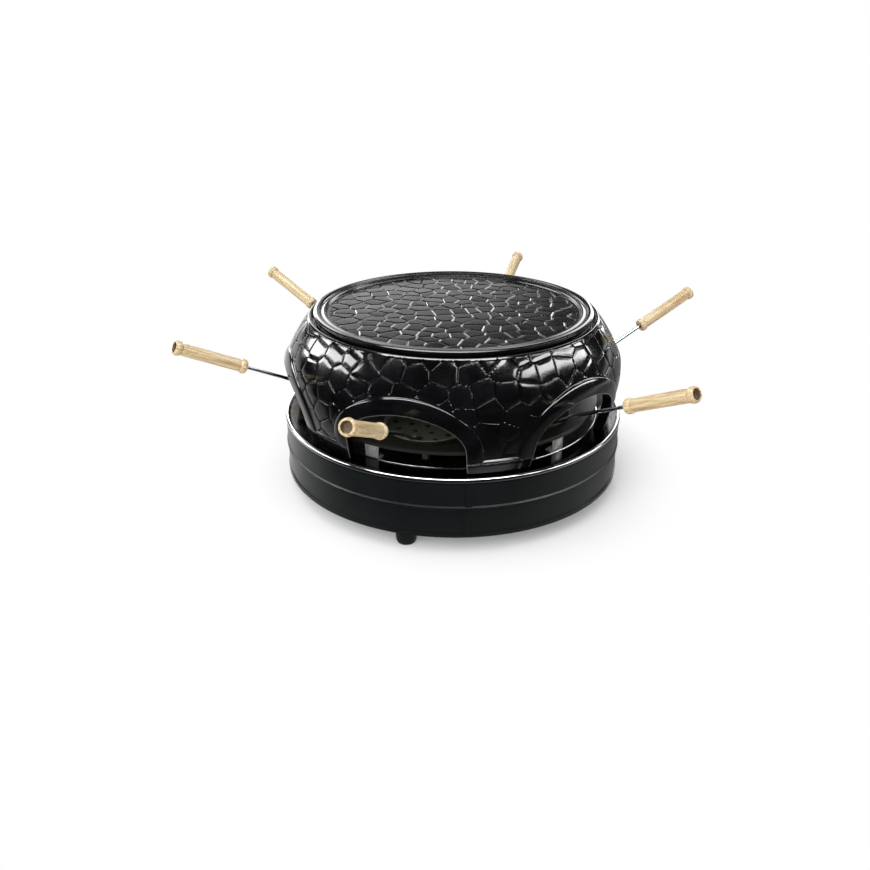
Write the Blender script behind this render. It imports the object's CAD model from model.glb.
"""Looks of a table-top electric pizza oven for six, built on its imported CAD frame.

Each sub-assembly is a class. It holds its sizes in millimetres, builds its meshes and dresses them,
and it dresses the CAD nodes whose shape is already right.
"""

import logging
import math
from dataclasses import dataclass
from enum import Enum
from typing import NamedTuple, Sequence

import bmesh
import bpy
import numpy as np
from mathutils import Matrix, Quaternion, Vector

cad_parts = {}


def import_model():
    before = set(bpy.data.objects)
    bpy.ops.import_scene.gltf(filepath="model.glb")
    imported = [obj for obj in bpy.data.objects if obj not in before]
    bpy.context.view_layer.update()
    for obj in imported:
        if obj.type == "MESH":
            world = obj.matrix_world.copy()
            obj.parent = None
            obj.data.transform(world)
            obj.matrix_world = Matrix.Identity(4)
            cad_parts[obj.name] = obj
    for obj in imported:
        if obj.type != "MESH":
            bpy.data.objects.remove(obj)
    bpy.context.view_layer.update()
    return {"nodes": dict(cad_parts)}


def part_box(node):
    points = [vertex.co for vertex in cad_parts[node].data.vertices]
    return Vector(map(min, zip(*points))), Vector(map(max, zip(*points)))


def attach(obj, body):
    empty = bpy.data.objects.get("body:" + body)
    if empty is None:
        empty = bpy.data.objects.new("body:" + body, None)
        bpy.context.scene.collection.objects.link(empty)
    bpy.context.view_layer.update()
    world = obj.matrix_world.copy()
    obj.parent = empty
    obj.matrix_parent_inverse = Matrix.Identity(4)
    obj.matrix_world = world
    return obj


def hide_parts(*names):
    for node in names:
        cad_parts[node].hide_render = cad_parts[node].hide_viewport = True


log = logging.getLogger("pizza_oven")

MM = 0.001
ARCHES = 6
LEGS = 5
FEET = 4
WELD = 0.01  # points nearer than this become one
EDGE_SHARE = 0.45  # the most of an edge that one rounding takes
NEAR_STONES = 7  # stones that can bound the one under a point
CHUNK = 20000  # points whose distances to all stones are worked out at once
WAVE_RATE = 20  # a wave texture multiplies its coordinates by this
ARRIS_ROWS = np.arange(8, 13)  # the rows of an arch's outer rounding where the glaze runs thin

Array = np.ndarray
Points = list[tuple[float, float]]
Piece = bpy.types.Object
Tree = bpy.types.NodeTree
Socket = bpy.types.NodeSocket
Inputs = dict[str | int, object] | Sequence[object]
Stops = Sequence[tuple[float, str]]


class Slot(Enum):
    """The record's material slots."""

    DRUM = "painted_drum"
    POLISHED = "polished_steel"
    ZINC = "zinc_sheet"
    SCREW = "steel_screw"
    PLASTIC = "black_plastic"
    ROCKER = "red_rocker"
    SHEATH = "element_sheath"
    SHEET = "sheet_steel"
    PLATE = "plate_coating"
    BLOCK = "ceramic_block"
    SLEEVE = "wire_sleeve"
    GLAZE = "dome_glaze"
    GRILL = "grill_coating"
    FOOT = "foot_plastic"
    PAN = "pan_coating"
    ROD = "chrome_rod"
    BEECH = "beech"


# ---------- mesh tools ----------


def smooth_step(value: Array) -> Array:
    """Returns the smooth step from 0 to 1 of a value that is clipped to that range."""
    t = np.clip(value, 0.0, 1.0)
    return t * t * (3.0 - 2.0 * t)


def quarter(steps: int) -> Array:
    """Returns even angles over a quarter turn, in radians, with both ends."""
    return np.linspace(0.0, math.pi / 2, steps + 1)


def polar(radius: Array, angle: Array, height: Array) -> Array:
    """Returns points from radii, angles from the front in radians and heights, which broadcast together."""
    return np.stack(np.broadcast_arrays(radius * np.sin(angle), -radius * np.cos(angle), height), axis=-1)


def turns(count: int) -> Array:
    """Returns this many even angles over a whole turn, in radians."""
    return np.arange(count) * 2 * math.pi / count


def sweep(profile: Points, angle: Array) -> Array:
    """Returns the points of a profile of radius and height at each angle, as rows by columns by three."""
    line = np.array(profile, float)
    return polar(line[:, :1], angle, line[:, 1:])


def headings(path: Array) -> Array:
    """Returns the unit direction of a path at each of its points."""
    ahead = np.gradient(path, axis=0)
    return ahead / np.linalg.norm(ahead, axis=1)[:, None]


def disc(rings: int) -> Array:
    """Bends a square grid of points to a disc of radius 1, so that its cells stay even.

    Args:
        rings: The number of cells from the middle to the edge.

    Returns:
        The points, as rows by columns by two.
    """
    line = np.linspace(-1.0, 1.0, 2 * rings + 1)
    x, y = np.meshgrid(line, line)
    wide = np.abs(x) > np.abs(y)
    r = np.where(wide, x, y)
    angle = np.divide(np.where(wide, y, x), r, out=np.zeros_like(r), where=r != 0) * math.pi / 4
    along, across = r * np.cos(angle), r * np.sin(angle)
    return np.stack([np.where(wide, along, across), np.where(wide, across, along)], axis=-1)


def fillet(points: Points, radius: float, steps: int = 5) -> Points:
    """Rounds the inner corners of an open outline.

    Args:
        points: The outline's corners, in millimetres.
        radius: The radius of each rounding, which shrinks where an edge is too short for it.
        steps: The number of edges in a rounding.

    Returns:
        The rounded outline.
    """
    corners = [np.array(p, float) for p in points]
    rounded = [tuple(corners[0])]
    for before, corner, after in zip(corners, corners[1:], corners[2:]):
        back, ahead = before - corner, after - corner
        back_len, ahead_len = np.linalg.norm(back), np.linalg.norm(ahead)
        cosine = np.clip(back @ ahead / (back_len * ahead_len), -1.0, 1.0)
        half = math.acos(cosine) / 2
        room = EDGE_SHARE * min(back_len, ahead_len)
        reach = min(radius / max(math.tan(half), 1e-6), room)
        start, end = corner + back / back_len * reach, corner + ahead / ahead_len * reach
        for t in np.arange(steps + 1) / steps:
            point = (1 - t) ** 2 * start + 2 * t * (1 - t) * corner + t * t * end
            rounded.append((float(point[0]), float(point[1])))
    rounded.append(tuple(corners[-1]))
    return rounded


def around(turn: float) -> Matrix:
    """Returns the turn about the upright axis, in degrees from the front arch."""
    return Matrix.Rotation(math.radians(turn), 4, "Z")


def shift(x: float, y: float, z: float) -> Matrix:
    """Returns the move by these distances in millimetres."""
    return Matrix.Translation((x * MM, y * MM, z * MM))


def stand(name: str, data: bpy.types.ID) -> Piece:
    """Makes an object and puts it in the scene.

    Args:
        name: The object's name.
        data: Its mesh, lamp or camera.

    Returns:
        The object.
    """
    piece = bpy.data.objects.new(name, data)
    bpy.context.scene.collection.objects.link(piece)
    return piece


class Shell:
    """A mesh in the making: points in millimetres and the faces between them."""

    def __init__(self) -> None:
        """Starts with no points and no faces."""
        self.points: list[Array] = []
        self.faces: list[Array] = []
        self.caps: list[list[int]] = []
        self.relief: list[Array] = []
        self.count = 0

    def grid(self, points: Array, wrap: bool = False, relief: Array | None = None) -> Array:
        """Adds a grid of points with a face in each of its cells.

        Args:
            points: The points, as rows by columns by three.
            wrap: Whether the last column joins the first.
            relief: A number for each point, which a finish may read, or None for zero.

        Returns:
            The points' numbers in the mesh, as rows by columns.
        """
        rows, columns = points.shape[:2]
        index = self.count + np.arange(rows * columns).reshape(rows, columns)
        ring = np.concatenate([index, index[:, :1]], axis=1) if wrap else index
        quads = np.stack([ring[:-1, :-1], ring[:-1, 1:], ring[1:, 1:], ring[1:, :-1]], axis=-1)
        self.points.append(points.reshape(-1, 3))
        self.relief.append(np.zeros(rows * columns) if relief is None else relief.reshape(-1))
        self.faces.append(quads.reshape(-1, 4))
        self.count += rows * columns
        return index

    def lathe(self, profile: Points, segments: int, relief: Sequence[float] | None = None) -> None:
        """Adds the surface that a profile of radius and height sweeps round the upright axis.

        Args:
            profile: Pairs of radius and height.
            segments: The number of columns round the axis.
            relief: A number for each pair, which a finish may read, or None for zero.
        """
        marks = None if relief is None else np.repeat(np.array(relief, float), segments)
        self.grid(sweep(profile, turns(segments)), wrap=True, relief=marks)

    def bar(self, rows: Sequence[Array]) -> None:
        """Adds a bar with a flat face at each end.

        Args:
            rows: The points of each of its cross-sections.
        """
        index = self.grid(np.array(rows), wrap=True)
        self.cap(index[0])
        self.cap(index[-1])

    def cap(self, indices: Sequence[int]) -> None:
        """Adds one flat face over the given points."""
        self.caps.append([int(i) for i in indices])

    def build(self, name: str, sharp: float, place: Matrix | None = None) -> Piece:
        """Makes the object, with its double points joined and its faces pointing outwards.

        Args:
            name: The name of the piece.
            sharp: The angle between two faces, in degrees, over which their edge shows as sharp.
            place: Where it stands, or None for the origin.

        Returns:
            The new object, in metres.
        """
        mesh = bpy.data.meshes.new(name)
        points = np.concatenate(self.points) * MM
        mesh.from_pydata(points.tolist(), [], np.concatenate(self.faces).tolist() + self.caps)
        relief = np.concatenate(self.relief).astype(np.float32)
        mesh.attributes.new("relief", "FLOAT", "POINT").data.foreach_set("value", relief)
        work = bmesh.new()
        work.from_mesh(mesh)
        bmesh.ops.remove_doubles(work, verts=work.verts, dist=WELD * MM)
        bmesh.ops.recalc_face_normals(work, faces=work.faces)
        work.to_mesh(mesh)
        work.free()
        mesh.polygons.foreach_set("use_smooth", [True] * len(mesh.polygons))
        mesh.set_sharp_from_angle(angle=math.radians(sharp))
        piece = stand(name, mesh)
        piece.matrix_world = place or Matrix()
        return piece


@dataclass(frozen=True)
class Cobbles:
    """The relief of flat stones with narrow grooves between them.

    The rows' spacing, the spacing along a row and the play of a stone are shares of a stone's width.
    """

    stone: float
    row: float
    along: float
    play: float
    groove_w: float
    groove_d: float
    crown: float
    crown_w: float
    tilt: float
    step: float

    def depth(self, points: Array, seeds: Array, seed: int) -> Array:
        """Works out how far the relief lies below the plain surface.

        Args:
            points: The points of the plain surface, as rows of three.
            seeds: The middle of each stone, as rows of three.
            seed: The seed of the small differences from stone to stone.

        Returns:
            The depth in millimetres at each point, which is never negative.
        """
        rng = np.random.default_rng(seed)
        drop = rng.uniform(0.0, self.step, len(seeds))
        lean = rng.normal(0.0, self.tilt, (len(seeds), 3))
        depth = np.zeros(len(points))
        for start in range(0, len(points), CHUNK):
            part = points[start : start + CHUNK]
            square = (part**2).sum(1)[:, None] - 2 * part @ seeds.T + (seeds**2).sum(1)[None]
            near = np.argpartition(square, NEAR_STONES, axis=1)[:, :NEAR_STONES]
            order = np.argsort(np.take_along_axis(square, near, axis=1), axis=1)
            near = np.take_along_axis(near, order, axis=1)
            own, others = seeds[near[:, 0]], seeds[near[:, 1:]]
            gap = others - own[:, None]
            reach = ((own[:, None] + others) / 2 - part[:, None]) * gap
            edge = (reach.sum(-1) / np.linalg.norm(gap, axis=-1)).min(axis=1)
            leaning = ((part - own) * lean[near[:, 0]]).sum(1)
            depth[start : start + CHUNK] = (
                self.groove_d * (1 - np.clip(edge / self.groove_w, 0.0, 1.0))
                + self.crown * (1 - smooth_step(edge / self.crown_w))
                + drop[near[:, 0]]
                + np.clip(leaning, -self.step, self.step) * smooth_step(edge / self.groove_w)
            )
        return np.maximum(depth, 0.0)


# ---------- finishes ----------


def colour(code: str) -> tuple[float, float, float, float]:
    """Turns an sRGB hex code into the linear colour that a shader takes.

    Args:
        code: The hex code, such as #D6C29E.

    Returns:
        Red, green, blue and an alpha of 1, linear.
    """
    channels = [int(code[i : i + 2], 16) / 255 for i in (1, 3, 5)]
    linear = [c / 12.92 if c <= 0.04045 else ((c + 0.055) / 1.055) ** 2.4 for c in channels]
    return (linear[0], linear[1], linear[2], 1.0)


WHITE = colour("#FFFFFF")


def per_mm(size: float) -> float:
    """Returns the scale at which a texture's features are this size, in millimetres."""
    return 1 / (size * MM)


def sized(vector: Socket, size: float, detail: float) -> Inputs:
    """Returns a noise's inputs: its coordinates, the size of its features in millimetres and its detail."""
    return {"Vector": vector, "Scale": per_mm(size), "Detail": detail}


def feed(tree: Tree, node: bpy.types.Node, inputs: Inputs) -> None:
    """Gives the inputs of a node their fixed values and their links.

    Args:
        tree: The node's tree.
        node: The node.
        inputs: A value or another node's socket for each input, by its name or number, or all in order.
    """
    for key, value in inputs.items() if isinstance(inputs, dict) else enumerate(inputs):
        if isinstance(value, Socket):
            tree.links.new(value, node.inputs[key])
        else:
            node.inputs[key].default_value = value


def add(
    tree: Tree, kind: str, inputs: Inputs = (), output: str | int = 0, stops: Stops = (), **settings: object
) -> Socket | None:
    """Adds a node with its settings, its fixed values and its links.

    Args:
        tree: The node tree that takes the node.
        kind: The node's type, without its prefix.
        inputs: A value or another node's socket for each input, by its name or number, or all in order.
        output: The name or number of the wanted output.
        stops: Pairs of a place and an sRGB hex code, for a node with a colour ramp.
        settings: The node's own settings.

    Returns:
        The wanted output, or None where the node has no output.
    """
    node = tree.nodes.new(f"ShaderNode{kind}")
    for key, value in settings.items():
        setattr(node, key, value)
    feed(tree, node, inputs)
    for _ in stops[2:]:
        node.color_ramp.elements.new(0.5)
    for i, (place, code) in enumerate(stops):
        node.color_ramp.elements[i].position = place
        node.color_ramp.elements[i].color = colour(code)
    return node.outputs[output] if node.outputs else None


class Layers(NamedTuple):
    """What a pattern gives its finish: colour, height, wear from 0 to 1, and a finer bump under the height."""

    tone: Socket
    height: Socket
    wear: Socket | None = None
    fine: Socket | None = None


@dataclass(frozen=True)
class Finish:
    """What every finish has: its name, its colour, the shader's plain values and how its pattern moves them.

    The bump's height is in millimetres. The two shifts are what the wear adds to the roughness, at both
    ends of its span.
    """

    name: str
    base: str
    roughness: float

    metallic = 0.0
    ior = 1.5
    bump = 0.02
    shifts = (-0.05, 0.05)
    span = (0.3, 0.7)

    def make(self) -> bpy.types.Material:
        """Makes the material, with its plain values and then its pattern.

        Returns:
            The material.
        """
        material = bpy.data.materials.new(self.name)
        material.use_nodes = True
        tree = material.node_tree
        shader = tree.nodes["Principled BSDF"]
        feed(tree, shader, {"Base Color": colour(self.base), "Roughness": self.roughness, "Metallic": self.metallic})
        if not self.metallic:
            feed(tree, shader, {"IOR": self.ior})
        layers = self.pattern(tree, add(tree, "TexCoord", output="Object"))
        feed(tree, shader, {"Base Color": layers.tone})
        if layers.wear:
            low, high = (self.roughness + shift for shift in self.shifts)
            feed(tree, shader, {"Roughness": add(tree, "MapRange", (layers.wear, *self.span, low, high))})
        bump = {"Strength": 1.0, "Distance": self.bump * MM, "Height": layers.height}
        if layers.fine:
            bump["Normal"] = layers.fine
        feed(tree, shader, {"Normal": add(tree, "Bump", bump)})
        return material

    def tint(self, share: float) -> tuple[float, float, float, float]:
        """Returns the base colour with this share of its light."""
        red, green, blue, alpha = colour(self.base)
        return (red * share, green * share, blue * share, alpha)

    def pattern(self, tree: Tree, place: Socket) -> Layers:
        """Adds the finish's own pattern.

        Args:
            tree: The material's node tree.
            place: The object's own coordinates.

        Returns:
            What the pattern gives.
        """
        raise NotImplementedError


@dataclass(frozen=True)
class Glaze(Finish):
    """Fired glaze: it flows in the kiln, so it is glass-smooth, with long soft ripples and a thin, paler edge."""

    thin: str
    edge: str

    ior = 1.52
    bump = 0.07
    shifts = (-0.036, 0.06)

    def pattern(self, tree: Tree, place: Socket) -> Layers:
        """Adds ripples, pinholes, clouds of thinner glaze and the pale line where it runs off an arris.

        Args:
            tree: The material's node tree.
            place: The object's own coordinates.

        Returns:
            What the pattern gives.
        """
        flow = add(tree, "TexNoise", sized(place, 9.0, 2.0))
        # Pinholes in a glaze are about 0.3 mm; they are drawn at 0.8 mm so that they show.
        pits = add(tree, "TexNoise", sized(place, 0.8, 1.0))
        cloud = add(tree, "TexNoise", sized(place, 26.0, 3.0))
        tone = add(tree, "ValToRGB", (cloud,), stops=[(0.35, self.base), (0.75, self.thin)])
        arris = add(tree, "Attribute", output="Fac", attribute_name="relief")
        tone = add(tree, "Mix", {0: arris, 6: tone, 7: colour(self.edge)}, 2, data_type="RGBA")
        fine = add(tree, "Bump", {"Strength": 1.0, "Distance": 0.008 * MM, "Height": pits})
        return Layers(tone, flow, cloud, fine)


@dataclass(frozen=True)
class PowderCoat(Finish):
    """Powder sprayed on steel and baked: it melts into a matt skin with an orange-peel grain."""

    bump = 0.03
    shifts = (-0.06, 0.06)

    def pattern(self, tree: Tree, place: Socket) -> Layers:
        """Adds the orange peel, a slight mottle and rubbed, glossier patches.

        Args:
            tree: The material's node tree.
            place: The object's own coordinates.

        Returns:
            What the pattern gives.
        """
        peel = add(tree, "TexNoise", sized(place, 1.1, 2.0))
        rub = add(tree, "TexNoise", sized(place, 45.0, 4.0))
        mottle = add(tree, "Mix", {0: rub, 6: self.tint(0.85), 7: self.tint(1.2)}, 2, data_type="RGBA")
        return Layers(mottle, peel, rub)


@dataclass(frozen=True)
class NonStick(Finish):
    """Filled non-stick resin on cast or pressed metal: satin, with a fine grain and a dull coat in its grooves."""

    groove: str

    ior = 1.42

    def pattern(self, tree: Tree, place: Socket) -> Layers:
        """Adds the filler's grain, cloudy patches and the darker low places.

        Args:
            tree: The material's node tree.
            place: The object's own coordinates.

        Returns:
            What the pattern gives.
        """
        # The filler's grains are about 0.2 mm; they are drawn at 0.9 mm so that they show.
        grain = add(tree, "TexNoise", sized(place, 0.9, 3.0))
        cloud = add(tree, "TexNoise", sized(place, 34.0, 3.0))
        low = add(tree, "Attribute", output="Fac", attribute_name="relief")
        fleck = add(tree, "MapRange", (grain, 0.3, 0.7, -0.06, 0.06))
        level = add(tree, "Math", (low, 1.0, fleck), operation="MULTIPLY_ADD")
        tone = add(tree, "ValToRGB", (level,), stops=[(0.0, self.base), (1.0, self.groove)])
        return Layers(tone, grain, cloud)


@dataclass(frozen=True)
class PolishedSteel(Finish):
    """Stainless sheet, spun and polished: mirror-bright, with hairlines that run round the ring."""

    metallic = 1.0
    bump = 0.002
    shifts = (-0.036, 0.072)

    def pattern(self, tree: Tree, place: Socket) -> Layers:
        """Adds hairlines round the axis, the smears that polishing leaves and the dark, unpolished shelf.

        Args:
            tree: The material's node tree.
            place: The object's own coordinates.

        Returns:
            What the pattern gives.
        """
        # Polishing lines are finer than 0.1 mm; they are drawn every 0.5 mm so that they show.
        rings = {"Vector": place, "Scale": per_mm(0.5) / WAVE_RATE, "Distortion": 1.5, "Detail": 2.0}
        lines = add(tree, "TexWave", rings, "Fac", wave_type="RINGS", rings_direction="Z")
        smear = add(tree, "TexNoise", sized(place, 30.0, 4.0))
        share = add(tree, "MapRange", (smear, 0.25, 0.75, 0.0, 1.0))
        steel = add(tree, "ValToRGB", (share,), stops=[(0.0, self.base), (1.0, "#C2C2C5")])
        shelf = add(tree, "Attribute", output="Fac", attribute_name="relief")
        tone = add(tree, "Mix", {0: shelf, 6: steel, 7: colour("#3A3A3D")}, 2, data_type="RGBA")
        return Layers(tone, lines, smear)


@dataclass(frozen=True)
class BrushedSheet(Finish):
    """Cold-rolled sheet under a dull film of oxide: rolling streaks stretch its highlights, and the film greys it."""

    metallic = 0.6
    bump = 0.006
    shifts = (-0.07, 0.1)

    def pattern(self, tree: Tree, place: Socket) -> Layers:
        """Adds rolling streaks, and stains of handling.

        Args:
            tree: The material's node tree.
            place: The object's own coordinates.

        Returns:
            What the pattern gives.
        """
        along = add(tree, "Mapping", {"Vector": place, "Scale": (1.0, 1.0, 0.05)})
        # Rolling streaks are about 0.1 mm wide; they are drawn 0.6 mm wide so that they show.
        streak = add(tree, "TexNoise", sized(along, 0.6, 4.0))
        stain = add(tree, "TexNoise", sized(place, 18.0, 4.0))
        tone = add(tree, "ValToRGB", (stain,), stops=[(0.35, self.base), (0.7, "#CFCFCD")])
        return Layers(tone, streak, streak)


@dataclass(frozen=True)
class ZincPlate(Finish):
    """Hot-dipped zinc: it freezes in flat crystals, so the sheet shows a dull spangle of greys."""

    spangle: float = 5.0

    metallic = 1.0
    bump = 0.008
    shifts = (-0.08, 0.12)
    span = (0.0, 1.0)

    def pattern(self, tree: Tree, place: Socket) -> Layers:
        """Adds the crystals, each with its own grey and its own gloss.

        Args:
            tree: The material's node tree.
            place: The object's own coordinates.

        Returns:
            What the pattern gives.
        """
        crystal = add(tree, "TexVoronoi", {"Vector": place, "Scale": per_mm(self.spangle)}, "Color")
        grey = add(tree, "SeparateColor", (crystal,)).node.outputs
        tone = add(tree, "ValToRGB", (grey["Red"],), stops=[(0.0, self.base), (1.0, "#BFC3C6")])
        dust = add(tree, "TexNoise", sized(place, 1.0, 3.0))
        return Layers(tone, dust, grey["Green"])


@dataclass(frozen=True)
class MouldedPlastic(Finish):
    """Injection-moulded plastic: the mould's spark-eroded face prints an even grain that dulls it."""

    grain: float = 0.7
    bump: float = 0.03

    ior = 1.46

    def pattern(self, tree: Tree, place: Socket) -> Layers:
        """Adds the mould's grain and the sheen of handled places.

        Args:
            tree: The material's node tree.
            place: The object's own coordinates.

        Returns:
            What the pattern gives.
        """
        # The real grain is about 0.1 mm; it is drawn coarser so that it shows.
        grain = add(tree, "TexVoronoi", {"Vector": place, "Scale": per_mm(self.grain)}, "Distance")
        rub = add(tree, "TexNoise", sized(place, 12.0, 3.0))
        mottle = add(tree, "Mix", {0: rub, 6: self.tint(0.88), 7: self.tint(1.15)}, 2, data_type="RGBA")
        return Layers(mottle, grain, rub)


@dataclass(frozen=True)
class OxidisedSheath(Finish):
    """Nickel-alloy element tube, fired in service: a dull green-brown oxide that is darker in patches."""

    metallic = 1.0
    shifts = (0.1, -0.1)

    def pattern(self, tree: Tree, place: Socket) -> Layers:
        """Adds the oxide's patches and its powdery grain.

        Args:
            tree: The material's node tree.
            place: The object's own coordinates.

        Returns:
            What the pattern gives.
        """
        patch = add(tree, "TexNoise", sized(place, 14.0, 5.0))
        # The oxide's powder is finer than 0.1 mm; it is drawn at 0.7 mm so that it shows.
        grain = add(tree, "TexNoise", sized(place, 0.7, 2.0))
        tone = add(tree, "ValToRGB", (patch,), stops=[(0.3, "#2E2B26"), (0.55, self.base), (0.8, "#7A7468")])
        return Layers(tone, grain, patch)


@dataclass(frozen=True)
class Steatite(Finish):
    """Pressed and fired steatite: a creamy, faintly speckled ceramic with a thin eggshell glaze."""

    ior = 1.55

    def pattern(self, tree: Tree, place: Socket) -> Layers:
        """Adds the specks and the pressing's fine grain.

        Args:
            tree: The material's node tree.
            place: The object's own coordinates.

        Returns:
            What the pattern gives.
        """
        speck = add(tree, "TexNoise", sized(place, 1.4, 4.0))
        tone = add(tree, "ValToRGB", (speck,), stops=[(0.28, "#B8AE9C"), (0.42, self.base), (1.0, "#F1EDE3")])
        return Layers(tone, speck)


@dataclass(frozen=True)
class WovenSleeve(Finish):
    """Glass-fibre sleeve, braided and varnished: two sets of threads cross at a slant round the wire."""

    bump = 0.15

    def pattern(self, tree: Tree, place: Socket) -> Layers:
        """Adds the two sets of threads.

        Args:
            tree: The material's node tree.
            place: The object's own coordinates.

        Returns:
            What the pattern gives.
        """
        # The threads are about 0.3 mm; they are drawn at 0.9 mm so that they show.
        sets = []
        for slant in (math.radians(45.0), math.radians(-45.0)):
            turned = add(tree, "Mapping", {"Vector": place, "Rotation": (slant, slant, 0.0)})
            threads = {"Vector": turned, "Scale": per_mm(0.9) / WAVE_RATE, "Distortion": 0.4}
            sets.append(add(tree, "TexWave", threads, "Fac"))
        braid = add(tree, "Math", sets, operation="MAXIMUM")
        tone = add(tree, "ValToRGB", (braid,), stops=[(0.2, "#5A1A10"), (0.9, self.base)])
        return Layers(tone, braid)


@dataclass(frozen=True)
class ChromePlate(Finish):
    """Bright chromium over nickel on drawn wire: a cold mirror with a few faint draw marks."""

    metallic = 1.0
    bump = 0.006
    shifts = (-0.048, 0.096)

    def pattern(self, tree: Tree, place: Socket) -> Layers:
        """Adds the draw marks, and finger smears that dull it a little.

        Args:
            tree: The material's node tree.
            place: The object's own coordinates.

        Returns:
            What the pattern gives.
        """
        marks = add(tree, "TexNoise", sized(place, 3.0, 3.0))
        tone = add(tree, "ValToRGB", (marks,), stops=[(0.3, self.base), (0.7, "#CDD0D3")])
        return Layers(tone, marks, marks)


@dataclass(frozen=True)
class TurnedBeech(Finish):
    """Beech, turned and left pale: straight grain along the handle, short brown ray flecks and dull, open pores."""

    dark: str
    fleck: str

    ior = 1.47
    bump = 0.05
    shifts = (0.06, -0.06)

    def pattern(self, tree: Tree, place: Socket) -> Layers:
        """Adds the year rings, the ray flecks, and the dark end grain of the bored recess.

        Args:
            tree: The material's node tree.
            place: The object's own coordinates.

        Returns:
            What the pattern gives.
        """
        long = add(tree, "Mapping", {"Vector": place, "Scale": (1.0, 1.0, 0.07)})
        rings = add(tree, "TexNoise", {**sized(long, 2.6, 3.0), "Distortion": 0.6})
        short = add(tree, "Mapping", {"Vector": place, "Scale": (1.0, 1.0, 0.2)})
        # Ray flecks are 0.2 mm wide and 1 to 3 mm long; they are drawn about 0.7 mm wide so that they show.
        flecks = add(tree, "TexNoise", sized(short, 0.7, 2.0))
        wood = add(tree, "ValToRGB", (rings,), stops=[(0.3, self.dark), (0.5, self.base), (0.72, "#E6D6B4")])
        spots = add(tree, "MapRange", (flecks, 0.58, 0.72, 0.0, 0.55))
        wood = add(tree, "Mix", {0: spots, 6: wood, 7: colour(self.fleck)}, 2, data_type="RGBA")
        bored = add(tree, "Attribute", output="Fac", attribute_name="relief")
        wood = add(tree, "Mix", {0: bored, 6: wood, 7: colour("#4A3828")}, 2, data_type="RGBA")
        return Layers(wood, flecks, rings)


class Workshop:
    """Holds each finish's material, and puts finishes and bodies on pieces."""

    def __init__(self, nodes: dict[str, Piece]) -> None:
        """Makes the material of every slot.

        Args:
            nodes: The CAD nodes by name.
        """
        self.nodes = nodes
        finishes = {
            Slot.DRUM: PowderCoat("charcoal_powder_coat", "#101415", 0.34),
            Slot.POLISHED: PolishedSteel("polished_stainless_steel", "#A9A9AC", 0.12),
            Slot.ZINC: ZincPlate("zinc_plated_sheet", "#85898C", 0.4),
            Slot.SCREW: ZincPlate("zinc_plated_steel", "#8E9193", 0.32, spangle=1.5),
            Slot.PLASTIC: MouldedPlastic("moulded_black_nylon", "#161617", 0.5),
            Slot.ROCKER: MouldedPlastic("red_polycarbonate", "#8C1210", 0.18, grain=2.5, bump=0.01),
            Slot.SHEATH: OxidisedSheath("oxidised_nickel_alloy", "#4A463E", 0.5),
            Slot.SHEET: BrushedSheet("bright_rolled_steel", "#BEBEBB", 0.3),
            Slot.PLATE: NonStick("non_stick_baking_coat", "#23231F", 0.42, groove="#11110F"),
            Slot.BLOCK: Steatite("glazed_steatite", "#DDD6C6", 0.3),
            Slot.SLEEVE: WovenSleeve("varnished_glass_sleeve", "#A83A26", 0.6),
            Slot.GLAZE: Glaze("gloss_black_glaze", "#050506", 0.12, thin="#0D0D10", edge="#52514C"),
            Slot.GRILL: NonStick("satin_non_stick_coat", "#0A0A0C", 0.18, groove="#060607"),
            Slot.FOOT: MouldedPlastic("moulded_black_phenolic", "#131314", 0.42),
            Slot.PAN: NonStick("pan_non_stick_coat", "#6E6E5E", 0.38, groove="#0C0C0A"),
            Slot.ROD: ChromePlate("bright_chromium_plate", "#B4B7BA", 0.12),
            Slot.BEECH: TurnedBeech("turned_beech", "#D0B98E", 0.5, dark="#AE8D5C", fleck="#855C33"),
        }
        self.materials = {slot: finish.make() for slot, finish in finishes.items()}

    def place(self, piece: Piece, body: str, slot: Slot, node: str) -> None:
        """Dresses a new piece, makes it ride on its body and lets it stand for its CAD node.

        Args:
            piece: The new piece.
            body: The CAD body that it moves with.
            slot: The material slot that it takes its finish from.
            node: The CAD node that it stands for.
        """
        piece.data.materials.append(self.materials[slot])
        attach(piece, body)
        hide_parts(node)
        log.info("%s: %d faces, on %s", piece.name, len(piece.data.polygons), body)

    def dress(self, slot: Slot, *nodes: str) -> None:
        """Gives CAD nodes whose shapes are right their finish.

        Args:
            slot: The material slot that they take their finish from.
            nodes: The nodes' names.
        """
        for node in nodes:
            piece = self.nodes[node]
            if not piece.material_slots:
                piece.data.materials.append(None)
            for socket in piece.material_slots:
                socket.material = self.materials[slot]
            log.info("%s: CAD shape, dressed as %s", node, slot.value)


# ---------- the hood ----------


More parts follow.
